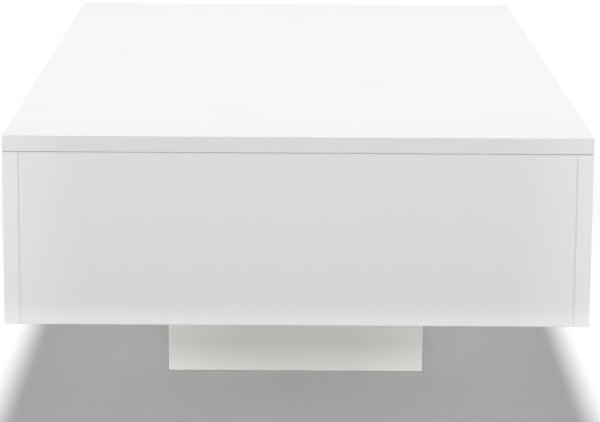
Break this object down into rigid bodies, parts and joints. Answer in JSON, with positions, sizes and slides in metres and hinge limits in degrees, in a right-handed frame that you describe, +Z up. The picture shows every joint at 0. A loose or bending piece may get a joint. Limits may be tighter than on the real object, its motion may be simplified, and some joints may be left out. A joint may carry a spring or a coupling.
{
  "type": "lift top coffee table",
  "caption": "Low white box-shaped coffee table on a recessed plinth; its top lifts and moves forward over a storage compartment.",
  "frame": {"origin": "on the floor under the middle of the table, lid closed", "axes": "+X along the table, +Z up; the user sits on the -Y side, which the lid moves towards as it lifts"},
  "size_m": [1, 0.55, 0.31],
  "materials": {
    "white_lacquer": "gloss",
    "white_plastic": "satin",
    "raw_wood": "matte",
    "cast_cam": "satin",
    "zinc_steel": "satin",
    "black_steel": "satin",
    "spring_steel": "satin",
    "nylon": "satin",
    "black_rubber": "matte",
    "clear_bumper": "satin"
  },
  "bodies": {
    "carcass": {"side_panel_front": "white_lacquer", "side_panel_rear": "white_lacquer", "end_panel_left": "white_lacquer", "end_panel_right": "white_lacquer", "bottom_panel": "white_lacquer", "cam_locks": "cast_cam", "cam_bolts": "zinc_steel", "cam_cover_caps": "white_plastic", "dowels": "raw_wood", "lid_bumpers": "clear_bumper", "plinth_panel_front": "white_lacquer", "plinth_panel_rear": "white_lacquer", "plinth_panel_left": "white_lacquer", "plinth_panel_right": "white_lacquer", "plinth_corner_blocks": "raw_wood", "plinth_block_screws": "zinc_steel", "plinth_top_screws": "zinc_steel", "floor_cover_plugs": "white_plastic", "floor_glides": "nylon", "base_plate_left": "black_steel", "base_plate_right": "black_steel", "base_plate_screws": "zinc_steel", "front_arm_studs": "zinc_steel", "rear_arm_studs": "zinc_steel", "rear_arm_clips": "zinc_steel", "spring_posts": "zinc_steel", "stop_pins": "zinc_steel", "stop_sleeves": "black_rubber", "torsion_spring_left": "spring_steel", "torsion_spring_right": "spring_steel"},
    "lift_arms": {"front_arm_left": "black_steel", "front_arm_right": "black_steel", "torque_tube": "black_steel", "tube_bushes": "nylon", "front_arm_bushes": "nylon", "spring_pins": "zinc_steel"},
    "rear_arm_left": {"rear_arm_left": "black_steel", "rear_arm_bushes_left": "nylon"},
    "rear_arm_right": {"rear_arm_right": "black_steel", "rear_arm_bushes_right": "nylon"},
    "lid": {"lid_panel": "white_lacquer", "lid_bracket_left": "black_steel", "lid_bracket_right": "black_steel", "lid_bracket_screws": "zinc_steel", "lid_pins": "zinc_steel", "lid_pin_clips": "zinc_steel"}
  },
  "joints": [
    {"name": "lift_hinge", "type": "hinge", "parent": "carcass", "child": "lift_arms", "pos_m": [0, -0.07, 0.256], "axis": [1, 0, 0], "range_deg": [0, 113], "stiffness_Nm_per_rad": 3.85, "springref_deg": 120.32, "deforming": ["torsion_spring_left", "torsion_spring_right"]},
    {"name": "rear_arm_hinge_left", "type": "hinge", "parent": "carcass", "child": "rear_arm_left", "pos_m": [-0.479, -0.03753, 0.21798], "axis": [1, 0, 0], "range_deg": [0, 113]},
    {"name": "rear_arm_hinge_right", "type": "hinge", "parent": "carcass", "child": "rear_arm_right", "pos_m": [0.479, -0.03753, 0.21798], "axis": [1, 0, 0], "range_deg": [0, 113]},
    {"name": "lid_hinge", "type": "hinge", "parent": "lift_arms", "child": "lid", "pos_m": [0, 0.13187, 0.19812], "axis": [1, 0, 0], "range_deg": [-113, 0]}
  ],
  "couplings": [
    {"joint": "rear_arm_hinge_left", "follows": "lift_hinge", "ratio": 1},
    {"joint": "rear_arm_hinge_right", "follows": "lift_hinge", "ratio": 1},
    {"joint": "lid_hinge", "follows": "lift_hinge", "ratio": -1}
  ]
}
